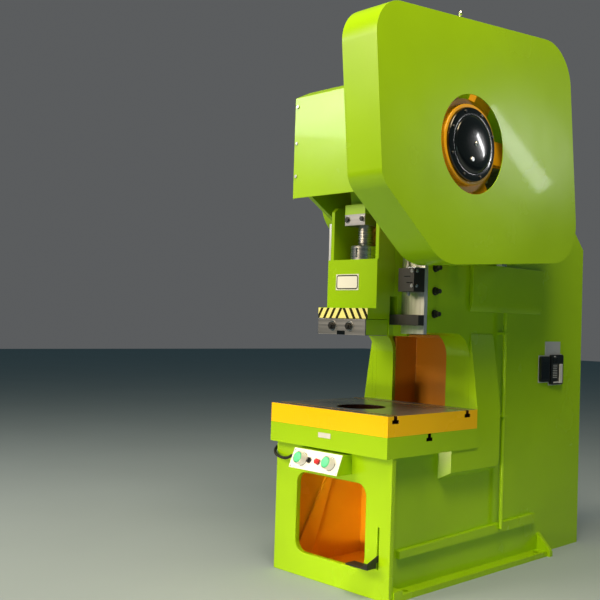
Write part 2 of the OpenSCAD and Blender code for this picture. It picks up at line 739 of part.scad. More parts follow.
// Adjusting screw and connecting rod
thread_z = slide_top + 84;
pin_z = crank_z + stroke / 2;
rod_z = [1857, 1968];
rod_front = -88;
rod_bolt_z = rod_z[0] + 33;
eye_y = 142;
eye_z = 94;
rod_half = 60;
module adjusting_screw() {
    color(steel) {
        translate([0, 0, ball_z]) sphere(r = ball_r, $fn = 72);
        z_rod([ball_z, thread_z + 1], 30, 0, 0);
        z_rod([thread_z, rod_z[1] + 80], screw_r, 0, 0, 72);
    }
}
module con_rod() {
    eye = [[-eye_y, pin_z - eye_z], [eye_y, pin_z - eye_z], [eye_y, pin_z + eye_z],
        [-eye_y, pin_z + eye_z]];
    gap_y = pin_r + 62;
    gap_z = pin_r + 15;
    gap = [[-gap_y, pin_z - gap_z], [gap_y, pin_z - gap_z], [gap_y, pin_z + gap_z],
        [-gap_y, pin_z + gap_z]];
    color(steel) difference() {
        union() {
            block([-75, 75], [rod_front, 60], rod_z);
            across([-rod_half, rod_half]) polygon([[-58, rod_z[1] - 1], [58, rod_z[1] - 1],
                [90, pin_z - eye_z + 1], [-90, pin_z - eye_z + 1]]);
            across([-rod_half, rod_half]) polygon(rounded(eye, [50, 50, 60, 60], 10));
        }
        across([-rod_half - 1, rod_half + 1]) polygon(rounded(gap, [40, 40, 40, 40], 10));
        z_rod([rod_z[0] - 1, rod_z[1] + 80], screw_r, 0, 0, 72);
        for (x = [-55, 55]) y_rod([rod_front - 1, 20], 8, x, rod_bolt_z);
    }
}
module rod_bolts() {
    color(steel) for (x = [-55, 55]) {
        y_rod([rod_front, 20], 8, x, rod_bolt_z);
        y_rod([rod_front - 10, rod_front], 14, x, rod_bolt_z, 6);
    }
}

// Crankshaft with its brake on the left
web_in = rod_half + 2;
crank_web = 40;
drum_x = [-half_w - 85, -half_w - 35];
gear_x = [guard_x - 124, guard_x - 24];
module crankshaft() {
    color(steel) {
        x_rod([drum_x[0] - 20, -web_in], journal_r, 0, crank_z);
        x_rod([web_in, gear_x[1] - 8], journal_r, 0, crank_z);
        x_rod([-web_in, web_in], pin_r, 0, pin_z);
        both_sides() {
            x_rod([web_in, web_in + crank_web], 82, 0, crank_z);
            x_rod([web_in, web_in + crank_web], 76, 0, pin_z);
            block([web_in, web_in + crank_web], [-76, 76], [crank_z, pin_z]);
        }
    }
}
module brake_drum() {
    color(grey) difference() {
        x_rod(drum_x, drum_r, 0, crank_z, 96);
        x_rod([drum_x[0] - 1, drum_x[1] + 1], journal_r, 0, crank_z);
    }
}
module brake_band() {
    color(green) {
        difference() {
            union() {
                x_rod([drum_x[0] + 4, drum_x[1] - 4], drum_r + 12, 0, crank_z, 96);
                across([drum_x[0] + 4, drum_x[1] - 4]) polygon([[-24, crank_z + drum_r],
                    [24, crank_z + drum_r], [16, crank_z + 280], [-16, crank_z + 280]]);
            }
            x_rod([drum_x[0], drum_x[1]], drum_r + touch, 0, crank_z, 96);
        }
        block([drum_x[1] - 6, -half_w], [-22, 22], [crank_z + 134, crank_z + 170]);
        x_rod([drum_x[0] - 6, drum_x[1] + 6], 24, 0, crank_z + 290, 48);
    }
}

// Gear, pinion, back shaft and flywheel
function tooth(n, m, i, w, a, d) = let (p = m * n / 2, s = 360 / n, c = i * s)
    [for (q = [[p - d, -w * 1.55], [p - 0.2 * m, -w * 1.12], [p + a, -w * 0.52],
    [p + a, w * 0.52], [p - 0.2 * m, w * 1.12], [p - d, w * 1.55]])
    q[0] * [cos(c + q[1] * s / 4), sin(c + q[1] * s / 4)]];
function teeth(n, m, w, a, d) = [for (i = [0:n - 1]) each tooth(n, m, i, w, a, d)];
spoke_r = [182, 440];
spoke_w = 118;
hub_disc_r = 225;
module drive_gear() {
    color(orange) translate([0, 0, crank_z]) difference() {
        union() {
            difference() {
                across(gear_x) polygon(teeth(gear_n, gear_m, 0.84, 0.8 * gear_m, 1.15 * gear_m));
                x_rod([gear_x[0] - 1, gear_x[1] + 1], spoke_r[1], 0, 0, 96);
            }
            x_rod(gear_x, spoke_r[0] + 13, 0, 0, 96);
            x_rod([gear_x[0] + 16, gear_x[1] - 18], hub_disc_r, 0, 0, 96);
            for (a = [0:60:300]) rotate([a, 0, 0]) block([gear_x[0] + 24, gear_x[1] - 26],
                [spoke_r[0] - 20, spoke_r[1] + 8], [-spoke_w / 2, spoke_w / 2]);
        }
        x_rod([gear_x[0] - 1, gear_x[1] + 1], journal_r + fit, 0, 0);
    }
}
module pinion_shape() {
    difference() {
        across([gear_x[0] - 4, gear_x[1] + 4])
            rotate(180 + 180 / pinion_n)
            polygon(teeth(pinion_n, gear_m, 0.84, 0.8 * gear_m, 1.15 * gear_m));
        x_rod([gear_x[0] - 6, gear_x[1] + 6], back_r, 0, 0);
    }
}
module pinion() {
    color(steel) translate([0, back_y, crank_z]) pinion_shape();
}
module clutch_cover() {
    color(black) translate([gear_x[1], 0, crank_z]) rotate([0, 90, 0]) rotate_extrude($fn = 96)
        polygon([[0, 0], [clutch_r, 0], [clutch_r, 16], [clutch_r - 6, 22], [clutch_r - 40, 24],
        [clutch_r - 46, 30], [110, 38], [70, 42], [0, 43]]);
}
wheel_x = [-half_w - 35 - wheel_w, -half_w - 35];
module back_shaft() {
    color(steel) x_rod([wheel_x[0] - 20, gear_x[1] + 12], back_r, back_y, crank_z);
}
module flywheel() {
    color(grey) difference() {
        x_rod(wheel_x, wheel_r, back_y, crank_z, 96);
        for (x = [wheel_x[0] - 1, wheel_x[1] - 45]) difference() {
            x_rod([x, x + 46], wheel_r - 44, back_y, crank_z, 96);
            x_rod([x - 1, x + 47], 90, back_y, crank_z);
        }
        x_rod([wheel_x[0] - 1, wheel_x[1] + 1], back_r, back_y, crank_z);
    }
}

// Motor, belts and their guard
motor_z = shelf_z + motor_h;
motor_shaft_r = 24;
module motor() {
    color(green) difference() {
        union() {
            x_rod([-300, 80], motor_r, motor_y, motor_z, 96);
            block([-230, 10], [motor_y - 120, motor_y + 120], [shelf_z, shelf_z + 24]);
            for (x = [-230, -20]) block([x, x + 30], [motor_y - 90, motor_y + 90],
                [shelf_z, motor_z - 60]);
            block([-170, -60], [motor_y - 60, motor_y + 60], [motor_z + 90, motor_z + 170]);
        }
        x_rod([-301, -220], motor_shaft_r + fit, motor_y, motor_z);
    }
}
module motor_pulley() {
    color(grey) {
        x_rod(wheel_x, pulley_r, motor_y, motor_z, 96);
        x_rod([wheel_x[1] - 1, -226], motor_shaft_r, motor_y, motor_z);
    }
}
module loop(x, e) {
    a = [back_y, crank_z];
    b = [motor_y, motor_z];
    v = b - a;
    t = atan2(v[1], v[0]);
    g = acos((wheel_r - pulley_r) / norm(v));
    ra = wheel_r + e;
    rb = pulley_r + e;
    function at(c, r, w) = c + r * [cos(w), sin(w)];
    x_rod(x, ra, a[0], a[1], 96);
    x_rod(x, rb, b[0], b[1], 96);
    across(x) polygon([at(a, ra, t - g), at(b, rb, t - g), at(b, rb, t + g), at(a, ra, t + g)]);
}
module drive_belts() {
    color(black) for (i = [0:3]) let (x = wheel_x[0] + 15 + i * 25) difference() {
        loop([x, x + 15], 11);
        loop([x - 1, x + 16], touch);
    }
}
belt_room = wheel_r + 30;
belt_back = motor_y + pulley_r + 48;
belt_edge = [[back_y - belt_room, crank_z - belt_room], [760, crank_z - belt_room],
    [belt_back, motor_z - 131], [belt_back, motor_z + 134], [760, crank_z + belt_room],
    [back_y - belt_room, crank_z + belt_room]];
belt_radii = [200, 150, 110, 110, 150, 200];
module belt_guard() {
    color(green) difference() {
        across([-600, -half_w]) polygon(rounded(belt_edge, belt_radii, 12));
        across([-600 + sheet, -half_w + 1])
            polygon(rounded(inset(belt_edge, sheet), thinner(belt_radii, sheet), 12));
    }
}
module knockout_bar() {
    color(black) block([bar_right - bar_l, bar_right], [bar_y - bar_w / 2, bar_y + bar_w / 2],
        [bar_z, bar_z + bar_h]);
}

side_plate_right();
side_plate_left();
front_panel();
bottom_plate();
foot_rails();
base_web();
throat_web();
throat_recess();
cheek_right();
cheek_left();
bed_slab();
bolster();
rear_casing();
head_casing();
head_web();
gib_housings();
gib_strips();
gib_bolts();
knockout_brackets();
knockout_stops();
crank_cover();
cover_screws();
gear_guard();
bearing_housings();
side_pocket();
drain_pipe();
control_box();
control_panel();
button_shrouds();
control_cable();
pedal_shaft();
brake_band();
belt_guard();
motor();
drive_belts();
side_switches();
breaker_lever();
bed_plate();
slide();
slide_plate();
clamp_block();
clamp_bolts();
ball_nut();
adjusting_screw();
con_rod();
rod_bolts();
crankshaft();
brake_drum();
drive_gear();
clutch_cover();
back_shaft();
pinion();
flywheel();
motor_pulley();
knockout_bar();
palm_button_left();
palm_button_right();
estop_button();
selector_knob();
pedal();
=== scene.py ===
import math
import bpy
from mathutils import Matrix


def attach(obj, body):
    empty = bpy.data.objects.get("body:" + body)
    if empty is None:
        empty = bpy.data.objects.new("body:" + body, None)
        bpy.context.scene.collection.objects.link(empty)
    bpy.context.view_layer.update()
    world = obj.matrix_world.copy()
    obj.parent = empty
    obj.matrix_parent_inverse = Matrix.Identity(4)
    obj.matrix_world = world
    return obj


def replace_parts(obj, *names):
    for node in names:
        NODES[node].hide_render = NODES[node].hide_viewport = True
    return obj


bl_info = {
    "name": "Stamping press",
    "version": (1, 0, 0),
    "blender": (4, 5, 0),
    "location": "View3D > Sidebar > Press",
    "description": "Dresses a deep-throat stamping press: enamelled frame, geared drive, ram and controls",
    "category": "Object",
}

import bmesh
import bpy
from bpy.props import FloatProperty, FloatVectorProperty, IntProperty, PointerProperty
from mathutils import Matrix, Vector

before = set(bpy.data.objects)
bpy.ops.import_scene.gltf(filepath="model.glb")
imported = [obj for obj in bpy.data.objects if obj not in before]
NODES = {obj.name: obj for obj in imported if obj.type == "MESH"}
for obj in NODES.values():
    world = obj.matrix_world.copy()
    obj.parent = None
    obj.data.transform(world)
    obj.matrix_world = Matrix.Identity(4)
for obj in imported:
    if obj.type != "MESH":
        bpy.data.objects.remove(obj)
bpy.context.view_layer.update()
MM = 0.001

# Heights and places shared with the part's source, in metres
CRANK = Vector((0.0, 0.0, 2.218))
BACK_SHAFT_Y = 0.5756
BEARING_FACE = 0.3845
MOTOR = Vector((0.0, 1.205, 2.216))
GEAR_FACE = 0.688
TOOTH_ROOT = 0.4725
NOSE_FRONT = -0.159
STRIPE_TOP = 1.4195
PANEL_Y, PANEL_Z, PANEL_LEAN = -0.292, 0.633, math.atan(0.4)
PALM_XS, KNOB_X, STOP_X = (-0.122, 0.089), -0.068, -0.001


def linear(code):
    """An sRGB hex value as linear red, green and blue."""
    parts = [int(code[i:i + 2], 16) / 255 for i in (0, 2, 4)]
    return tuple(c / 12.92 if c <= 0.04045 else ((c + 0.055) / 1.055) ** 2.4 for c in parts)


class PressColours(bpy.types.PropertyGroup):
    enamel: FloatVectorProperty(name="Enamel", description="Lime enamel of the frame and covers",
                                subtype="COLOR", size=3, min=0, max=1, default=linear("9AC80A"))
    inside: FloatVectorProperty(name="Inside", description="Orange paint inside the frame and on the gear",
                                subtype="COLOR", size=3, min=0, max=1, default=linear("FDB616"))
    bolster: FloatVectorProperty(name="Bolster", description="Yellow paint of the bolster",
                                 subtype="COLOR", size=3, min=0, max=1, default=linear("FAC405"))
    palm: FloatVectorProperty(name="Palm buttons", description="Moulded mint plastic",
                              subtype="COLOR", size=3, min=0, max=1, default=linear("5FD9A4"))
    stop: FloatVectorProperty(name="Stop button", description="Moulded red plastic",
                              subtype="COLOR", size=3, min=0, max=1, default=linear("D11A22"))


class PressSizes(bpy.types.PropertyGroup):
    plate_edge: FloatProperty(name="Plate edge", description="Rounding of the flame-cut plate edges",
                              subtype="DISTANCE", unit="LENGTH", default=4 * MM, min=0.5 * MM, max=8 * MM)
    sheet_edge: FloatProperty(name="Sheet edge", description="Rounding of the folded covers' edges",
                              subtype="DISTANCE", unit="LENGTH", default=3 * MM, min=0.5 * MM, max=6 * MM)
    small_edge: FloatProperty(name="Small edge", description="Chamfer on machined pieces and fittings",
                              subtype="DISTANCE", unit="LENGTH", default=1 * MM, min=0.2 * MM, max=3 * MM)
    stripe: FloatProperty(name="Stripe pitch", description="Width of one black and one yellow stripe",
                          subtype="DISTANCE", unit="LENGTH", default=48 * MM, min=20 * MM, max=80 * MM)
    hub_bolts: IntProperty(name="Hub bolts", description="Bolts round the clutch's cover",
                           default=8, min=4, max=24)
    floor: FloatProperty(name="Floor", description="Half width of the studio floor",
                         subtype="DISTANCE", unit="LENGTH", default=30, min=5, max=60)


# Materials

# Shine of the two gloss enamels
ENAMEL = {"IOR": 1.45, "Specular IOR Level": 0.36, "Coat Weight": 0.12, "Coat Roughness": 0.05}
# Open end of a box, beyond the machine
FAR = 4
# Space between the side plates below the bed
BASE_ROOM = {"X": (-0.3352, 0.3352), "Z": (-FAR, 0.6938)}


def put(tree, kind, settings=None):
    """Adds one node; settings are its attributes, its inputs' values or the sockets that feed them."""
    made = tree.nodes.new(kind)
    for name, value in (settings or {}).items():
        if isinstance(value, bpy.types.NodeSocket):
            tree.links.new(value, made.inputs[name])
        elif isinstance(name, int) or name in made.inputs:
            opaque = made.inputs[name].type == "RGBA" and len(value) == 3
            made.inputs[name].default_value = (*value, 1) if opaque else value
        else:
            setattr(made, name, value)
    return made


def start(name, base, **settings):
    """A material of one shader with its own settings; also its tree, and places on the piece in metres."""
    made = bpy.data.materials.new(name)
    made.use_nodes = True
    tree = made.node_tree
    shader = tree.nodes["Principled BSDF"]
    shader.inputs["Base Color"].default_value = (*base, 1)
    for key, value in settings.items():
        shader.inputs[key].default_value = value
    return made, tree, shader, put(tree, "ShaderNodeTexCoord").outputs["Object"]


def tones(tree, coords, base, scale, spread):
    """Broad drift of a paint's colour: base a little lighter and darker over patches of the given scale."""
    drift = put(tree, "ShaderNodeTexNoise", {"Vector": coords, "Scale": scale, "Detail": 3.0})
    ramp = put(tree, "ShaderNodeValToRGB", {"Fac": drift.outputs["Fac"]})
    dark, light = ramp.color_ramp.elements
    dark.position, light.position = 0.3, 0.7
    dark.color = (*[c * (1 - spread) for c in base], 1)
    light.color = (*[min(1, c * (1 + spread)) for c in base], 1)
    return ramp.outputs["Color"]


def coat(tree, shader, coords, wave, depth, rough, sway=0.0):
    """Orange peel of sprayed paint as a bump, and roughness that wanders a little; sway adds the
    slow waviness of filled and sanded plate, in metres."""
    peel = put(tree, "ShaderNodeTexNoise", {"Vector": coords, "Scale": 1 / wave, "Detail": 2.0})
    bump = put(tree, "ShaderNodeBump", {"Height": peel.outputs["Fac"], "Strength": 0.3, "Distance": depth})
    if sway:
        filler = put(tree, "ShaderNodeTexNoise", {"Vector": coords, "Scale": 3.2, "Detail": 1.0})
        bump = put(tree, "ShaderNodeBump", {"Height": filler.outputs["Fac"], "Strength": 0.6,
                                            "Distance": sway, "Normal": bump.outputs["Normal"]})
    tree.links.new(bump.outputs["Normal"], shader.inputs["Normal"])
    smear = put(tree, "ShaderNodeTexNoise", {"Vector": coords, "Scale": 3.0, "Detail": 4.0})
    spread = put(tree, "ShaderNodeMapRange", {"Value": smear.outputs["Fac"],
                                              "To Min": rough - 0.05, "To Max": rough + 0.08})
    tree.links.new(spread.outputs["Result"], shader.inputs["Roughness"])


def box(tree, coords, **spans):
    """1 inside a box on the piece: a low and a high end for each axis named."""
    place = put(tree, "ShaderNodeSeparateXYZ", {0: coords})
    mask = None
    for axis, (low, high) in spans.items():
        side = put(tree, "ShaderNodeMath", {"operation": "COMPARE", 0: place.outputs[axis],
                                            1: (low + high) / 2, 2: (high - low) / 2}).outputs[0]
        mask = side if mask is None else put(
            tree, "ShaderNodeMath", {"operation": "MULTIPLY", 0: mask, 1: side}).outputs[0]
    return mask


def reach(tree, coords, axes, centre=(0, 0, 0)):
    """Distance from centre, counted only along the axes that are 1."""
    away = put(tree, "ShaderNodeVectorMath", {"operation": "SUBTRACT", 0: coords, 1: centre})
    flat = put(tree, "ShaderNodeVectorMath", {"operation": "MULTIPLY", 0: away.outputs["Vector"], 1: axes})
    far = put(tree, "ShaderNodeVectorMath", {"operation": "LENGTH", 0: flat.outputs["Vector"]})
    return far.outputs["Value"]


def cover_with(tree, mask, colour):
    """Lays a second colour over the shader's first one where mask is 1."""
    base = tree.nodes["Principled BSDF"].inputs["Base Color"]
    mixed = put(tree, "ShaderNodeMix", {"data_type": "RGBA", 0: mask,
                                        6: base.links[0].from_socket, 7: colour})
    tree.links.new(mixed.outputs[2], base)


def lime_enamel(name, spans=None, other=None):
    """Glossy two-pack enamel over smoothed filler: wet highlights, faint orange peel, even colour.
    Inside spans the piece has the colour other instead, or orange paint if none is named."""
    c = bpy.context.scene.press_colours
    # The peel is about 2 mm in the real paint; 24 mm waves are the finest that the render shows
    made, tree, shader, coords = start(name, c.enamel, **ENAMEL)
    tree.links.new(tones(tree, coords, c.enamel, 1.4, 0.07), shader.inputs["Base Color"])
    if spans:
        spot = linear(other) if other else tones(tree, coords, c.inside, 2.2, 0.08)
        cover_with(tree, box(tree, coords, **spans), spot)
    coat(tree, shader, coords, 0.024, 0.0005, 0.24, 0.004)
    return made


def orange_paint(name, rough=0.36, depth=1.0):
    """Satin oil-resistant paint, brushed inside gearboxes and frames: broad soft highlights."""
    c = bpy.context.scene.press_colours
    made, tree, shader, coords = start(name, c.inside, **{"IOR": 1.5, "Coat Weight": 0.1})
    # depth below 1 darkens the orange, its green most, as painted shade for a recess
    colour = [part * shade for part, shade in zip(c.inside, (depth, depth ** 1.5, depth))]
    tree.links.new(tones(tree, coords, colour, 2.2, 0.08), shader.inputs["Base Color"])
    coat(tree, shader, coords, 0.03, 0.0006, rough)
    return made


def gear_paint(name):
    """Orange paint on the cast gear's sides, and dark greased steel on its cut teeth."""
    c = bpy.context.scene.press_colours
    made, tree, shader, coords = start(name, c.inside, IOR=1.5)
    tree.links.new(tones(tree, coords, c.inside, 3.0, 0.10), shader.inputs["Base Color"])
    teeth = put(tree, "ShaderNodeMath", {"operation": "GREATER_THAN", 1: TOOTH_ROOT,
                                         0: reach(tree, coords, (0, 1, 1), CRANK)}).outputs[0]
    cover_with(tree, teeth, linear("2B2723"))
    metal = put(tree, "ShaderNodeMath", {"operation": "MULTIPLY", 0: teeth, 1: 0.75})
    tree.links.new(metal.outputs[0], shader.inputs["Metallic"])
    coat(tree, shader, coords, 0.02, 0.0008, 0.34)
    return made


def yellow_bolster(name):
    """Glossy yellow paint on the bolster's sides; its milled top is bare, and its bore and T-slots are
    darkened inside as painted shade.
    """
    c = bpy.context.scene.press_colours
    made, tree, shader, coords = start(name, c.bolster, **{**ENAMEL, "Coat Roughness": 0.06})
    tree.links.new(tones(tree, coords, c.bolster, 1.6, 0.05), shader.inputs["Base Color"])
    # Milling leaves faint lines 6 mm apart along X on the bare top, under a film of oil and dust
    rows = put(tree, "ShaderNodeMapping", {"Vector": coords, "Scale": (3, 160, 1)}).outputs["Vector"]
    mill = put(tree, "ShaderNodeTexNoise", {"Vector": rows, "Scale": 1.0, "Detail": 3.0})
    film = put(tree, "ShaderNodeTexNoise", {"Vector": coords, "Scale": 5.0, "Detail": 5.0, "Roughness": 0.65})
    stain = put(tree, "ShaderNodeMapRange", {"Value": film.outputs["Fac"], "From Min": 0.42,
                                             "From Max": 0.62, "To Max": 0.55})
    lines = put(tree, "ShaderNodeMix", {"data_type": "RGBA", 0: mill.outputs["Fac"],
                                        6: linear("6F6C6E"), 7: linear("A7A4A8")})
    bare = put(tree, "ShaderNodeMix", {"data_type": "RGBA", 0: stain.outputs["Result"],
                                       6: lines.outputs[2], 7: linear("4B4644")})
    top = box(tree, coords, Z=(0.8992, FAR))
    cover_with(tree, top, bare.outputs[2])
    # Painted shade darkens the bore and the T-slots inside; the bore is 131 mm in radius, each T-slot a box
    # between two places along Y
    bore = put(tree, "ShaderNodeMath", {"operation": "COMPARE", 0: reach(tree, coords, (1, 1, 0)),
                                        1: 0.1296, 2: 0.0016})
    cover_with(tree, bore.outputs[0], linear("2A120A"))
    for ends in ((-0.2216, -0.1744), (0.3334, 0.3806)):
        slot = box(tree, coords, X=(-0.4362, 0.4362), Y=ends, Z=(0.8605, 0.8988))
        cover_with(tree, slot, linear("2A120A"))
    metal = put(tree, "ShaderNodeMath", {"operation": "MULTIPLY", 0: top, 1: 0.6})
    tree.links.new(metal.outputs[0], shader.inputs["Metallic"])
    coat(tree, shader, coords, 0.028, 0.0006, 0.27)
    return made


def ground_steel(name, grain=(1.5, 1.5, 135), colour="B9BABD", rough=0.3):
    """Bare ground steel with a film of oil: fine lines along one direction, soft stretched highlights.
    grain is how many patches there are to a metre along X, Y and Z."""
    made, tree, shader, coords = start(name, linear(colour), Metallic=1.0)
    # Grinding lines are well under 1 mm apart; they are drawn about 8 mm apart so that they show
    lines = put(tree, "ShaderNodeMapping", {"Vector": coords, "Scale": grain})
    grit = put(tree, "ShaderNodeTexNoise", {"Vector": lines.outputs["Vector"], "Scale": 1.0,
                                            "Detail": 4.0}).outputs["Fac"]
    ramp = put(tree, "ShaderNodeValToRGB", {"Fac": grit})
    dark, light = ramp.color_ramp.elements
    dark.color = (*[v * 0.72 for v in linear(colour)], 1)
    light.color = (*[min(1, v * 1.15) for v in linear(colour)], 1)
    spread = put(tree, "ShaderNodeMapRange", {"Value": grit, "To Min": rough - 0.08, "To Max": rough + 0.15})
    bump = put(tree, "ShaderNodeBump", {"Height": grit, "Strength": 0.25, "Distance": 0.0005})
    for source, target in ((ramp.outputs["Color"], "Base Color"), (spread.outputs["Result"], "Roughness"),
                           (bump.outputs["Normal"], "Normal")):
        tree.links.new(source, shader.inputs[target])
    return made


def part_painted(name, **spans):
    """Machined steel left bare on some faces and enamelled inside the spans."""
    made = ground_steel(name, (1.5, 1.5, 90), "A9A8AC", 0.34)
    tree = made.node_tree
    coords = tree.nodes["Texture Coordinate"].outputs["Object"]
    mask = box(tree, coords, **spans)
    cover_with(tree, mask, tones(tree, coords, bpy.context.scene.press_colours.enamel, 3.0, 0.06))
    metal = put(tree, "ShaderNodeMath", {"operation": "SUBTRACT", 0: 1.0, 1: mask})
    tree.links.new(metal.outputs[0], tree.nodes["Principled BSDF"].inputs["Metallic"])
    return made


def even(name, colour, patch, drift, grain, rough, **shine):
    """One colour all over: it wanders by drift over patches; grain is the width and depth of its bumps."""
    made, tree, shader, coords = start(name, colour, **shine)
    tree.links.new(tones(tree, coords, colour, patch, drift), shader.inputs["Base Color"])
    coat(tree, shader, coords, *grain, rough)
    return made


def black_paint(name, rough, shine, colour):
    """Black paint brushed over machined iron: deep, with crisp or soft highlights by its gloss."""
    return even(name, linear(colour), 9.0, 0.3, (0.012, 0.0003), rough,
                **{"IOR": 1.5, "Coat Weight": shine, "Coat Roughness": 0.05})


def moulded(name, colour, rough):
    """Injection-moulded plastic: even colour with a fine matt grain and a soft sheen."""
    return even(name, colour, 20.0, 0.05, (0.003, 0.0002), rough, IOR=1.46)


def ram_enamel(name):
    """The lime enamel with pale yellow and dark hazard stripes on the nose, leaning to the middle."""
    made = lime_enamel(name)
    tree = made.node_tree
    coords = tree.nodes["Texture Coordinate"].outputs["Object"]
    place = put(tree, "ShaderNodeSeparateXYZ", {0: coords})
    across = put(tree, "ShaderNodeMath", {"operation": "ABSOLUTE", 0: place.outputs["X"]})
    # How far a point lies along the stripes' pattern, 0 where a stripe meets the middle at the top
    run = put(tree, "ShaderNodeMath", {"operation": "MULTIPLY_ADD", 0: place.outputs["Z"], 1: 0.6,
                                       2: -0.6 * STRIPE_TOP}).outputs[0]
    run = put(tree, "ShaderNodeMath", {"operation": "ADD", 0: across.outputs[0], 1: run}).outputs[0]
    dark = run
    for step in ({"operation": "DIVIDE", 1: bpy.context.scene.press_sizes.stripe}, {"operation": "FRACT"},
                 {"operation": "LESS_THAN", 1: 0.42}):
        dark = put(tree, "ShaderNodeMath", {**step, 0: dark}).outputs[0]
    after = put(tree, "ShaderNodeMath", {"operation": "GREATER_THAN", 0: run, 1: -0.02})
    dark = put(tree, "ShaderNodeMath", {"operation": "MULTIPLY", 0: dark, 1: after.outputs[0]})
    tape = put(tree, "ShaderNodeMix", {"data_type": "RGBA", 0: dark.outputs[0],
                                       6: linear("F6F29A"), 7: linear("2C2A12")})
    nose = box(tree, coords, Y=(-FAR, NOSE_FRONT + 0.0015), Z=(-FAR, STRIPE_TOP))
    cover_with(tree, nose, tape.outputs[2])
    return made


def framed_plate(name):
    """A blank white printed plate with a dark line of round corners just inside its edge."""
    white = linear("F2F3F1")
    made, tree, shader, coords = start(name, white, Roughness=0.25, IOR=1.5)
    # How far a point lies from a rectangle of 133 x 46 mm about the plate's middle
    away = coords
    for step in ({"operation": "SUBTRACT", 1: (-0.0325, 0, 1.557)}, {"operation": "ABSOLUTE"},
                 {"operation": "SUBTRACT", 1: (0.0665, 0, 0.0230)}, {"operation": "MAXIMUM", 1: (0, 0, 0)}):
        away = put(tree, "ShaderNodeVectorMath", {**step, 0: away}).outputs["Vector"]
    line = put(tree, "ShaderNodeMath", {"operation": "COMPARE", 0: reach(tree, away, (1, 0, 1)),
                                        1: 0.01175, 2: 0.00325})
    colour = put(tree, "ShaderNodeMix", {"data_type": "RGBA", 0: line.outputs[0],
                                         6: white, 7: linear("2B3226")})
    tree.links.new(colour.outputs[2], shader.inputs["Base Color"])
    return made


def switch_case(name):
    """Glossy black moulded switch cases over a bare aluminium mounting plate."""
    made = even(name, linear("0D0E11"), 20.0, 0.2, (0.004, 0.0002), 0.3,
                **{"IOR": 1.5, "Coat Weight": 0.4, "Coat Roughness": 0.08})
    tree = made.node_tree
    coords = tree.nodes["Texture Coordinate"].outputs["Object"]
    cover_with(tree, box(tree, coords, X=(-FAR, 0.3686), Z=(1.1746, FAR)), linear("B4B8C4"))
    return made


def studio_floor(name):
    """Matt painted floor, a cool mid grey."""
    grey = linear("9AABBC")
    made, tree, shader, coords = start(name, grey, Roughness=0.75)
    tree.links.new(tones(tree, coords, grey, 0.8, 0.02), shader.inputs["Base Color"])
    return made


FINISHES = {
    "Lime enamel": lime_enamel,
    "Lime enamel, orange inside": lambda n: lime_enamel(n, BASE_ROOM),
    "Lime enamel, orange back": lambda n: lime_enamel(n, {**BASE_ROOM, "Y": (-0.1795, FAR)}),
    # The T-slot under the bolster is darkened inside as painted shade
    "Lime enamel, slot in painted shade": lambda n: lime_enamel(
        n, {"X": (-0.4365, 0.4365), "Y": (0.0314, 0.0786), "Z": (0.7585, 0.7979)}, "1B1208"),
    "Orange satin paint": orange_paint,
    # Painted shade: the throat recess gets a darker, redder orange than the paint elsewhere
    "Orange satin paint in painted shade": lambda n: orange_paint(n, 0.42, 0.58),
    "Painted gear iron": gear_paint,
    "Yellow bolster paint": yellow_bolster,
    "Ground steel": ground_steel,
    "Bright steel": lambda n: ground_steel(n, (9, 9, 9), "D9DADD", 0.22),
    # Painted sheen: a lighter steel than the other ground steel, standing in for the brightness its
    # reflections lack
    "Ground steel, upright, painted sheen": lambda n: ground_steel(n, (90, 90, 3), "E4E6EA", 0.34),
    "Turned steel": lambda n: ground_steel(n, (4.5, 4.5, 180), "C4C5C8", 0.24),
    # Bare on its front and underside, and enamelled behind them
    "Clamp block steel": lambda n: part_painted(n, Y=(-0.158, FAR), Z=(1.2835, FAR)),
    "Rod steel and enamel": lambda n: part_painted(n, Z=(1.9160, FAR)),
    "Gloss black paint": lambda n: black_paint(n, 0.14, 0.8, "07080A"),
    "Satin black paint": lambda n: black_paint(n, 0.38, 0.1, "121316"),
    "Worn black paint": lambda n: black_paint(n, 0.5, 0.0, "16181C"),
    # Grey paint on a rough iron casting: dull, slightly grainy
    "Grey iron": lambda n: even(n, linear("6B6E72"), 6.0, 0.14, (0.006, 0.0008), 0.5, IOR=1.5),
    "Shroud plastic": lambda n: moulded(n, linear("E4E6EA"), 0.25),
    "White panel enamel": lambda n: moulded(n, linear("F7F7FA"), 0.22),
    "Light grey plastic": lambda n: moulded(n, linear("C9CBD4"), 0.35),
    "Mint plastic": lambda n: moulded(n, tuple(bpy.context.scene.press_colours.palm), 0.2),
    "Red plastic": lambda n: moulded(n, tuple(bpy.context.scene.press_colours.stop), 0.22),
    "Black plastic": lambda n: moulded(n, linear("141416"), 0.3),
    "Black rubber": lambda n: moulded(n, linear("1A1B1C"), 0.55),
    "Switch case plastic": switch_case,
    "Ram enamel and stripes": ram_enamel,
    "Framed blank plate": framed_plate,
    "Studio floor": studio_floor,
}


def finish(name):
    """The named material, made the first time it is asked for."""
    return bpy.data.materials.get(name) or FINISHES[name](name)


def paint(obj, name):
    """Gives an object the named material alone."""
    obj.data.materials.clear()
    obj.data.materials.append(finish(name))


# Shapes

def settle(name, bm, material, body, smooth=35, level=True):
    """Turns a finished bmesh into a piece that rides on a body."""
    mesh = bpy.data.meshes.new(name)
    bm.to_mesh(mesh)
    bm.free()
    obj = bpy.data.objects.new(name, mesh)
    bpy.context.scene.collection.objects.link(obj)
    mesh.polygons.foreach_set("use_smooth", [True] * len(mesh.polygons))
    mesh.set_sharp_from_angle(angle=math.radians(smooth))
    if level:
        weigh = obj.modifiers.new("Level faces", "WEIGHTED_NORMAL")
        weigh.keep_sharp = True
    paint(obj, material)
    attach(obj, body)
    return obj


